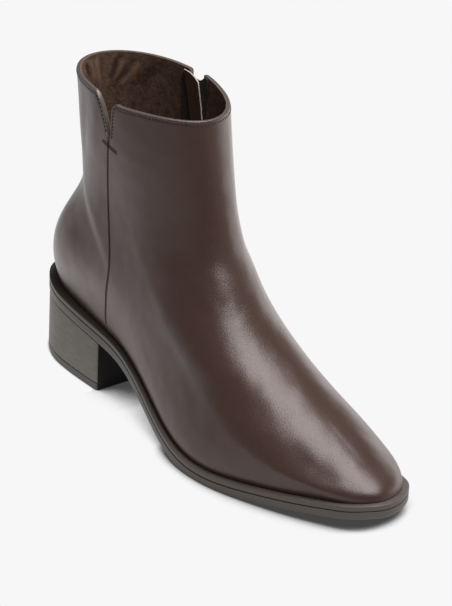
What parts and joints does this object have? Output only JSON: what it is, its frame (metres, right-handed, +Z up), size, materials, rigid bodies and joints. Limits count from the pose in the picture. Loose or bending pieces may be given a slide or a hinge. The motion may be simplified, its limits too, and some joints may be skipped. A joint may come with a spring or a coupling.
{
  "type": "leather ankle boot",
  "caption": "Right leather ankle boot with an almond toe, block heel, V notch at the outer collar and an inside zip with a hinged pull tab.",
  "frame": {"origin": "on the floor under the middle of the boot's box", "axes": "+X towards the toe, +Y towards the inner (medial) side with the zip, +Z up"},
  "size_m": [0.2722, 0.082, 0.175],
  "materials": {
    "brown_leather": "smooth dark brown calf with a soft gloss",
    "sole_rubber": "moulded, satin grey brown",
    "heel_stack": "moulded with fine level lines like a stack of layers",
    "sock_leather": "napped dark brown lining leather",
    "tape_cloth": "woven dark brown tape",
    "zip_metal": "plated, satin"
  },
  "bodies": {
    "boot": {"outsole": "sole_rubber", "welt": "sole_rubber", "heel_block": "heel_stack", "heel_top_piece": "sole_rubber", "insole": "sock_leather", "upper": "brown_leather", "zip_tape": "tape_cloth", "zip_chain": "zip_metal", "zip_slider": "zip_metal", "zip_guard": "brown_leather"},
    "pull_tab": {"zip_pull_tab": "zip_metal"}
  },
  "joints": [
    {"name": "pull_tab_hinge", "type": "hinge", "parent": "boot", "child": "pull_tab", "pos_m": [-0.0584, 0.0372, 0.15876], "axis": [0.9941, -0.0033, 0.1082], "range_deg": [0, 170]}
  ]
}
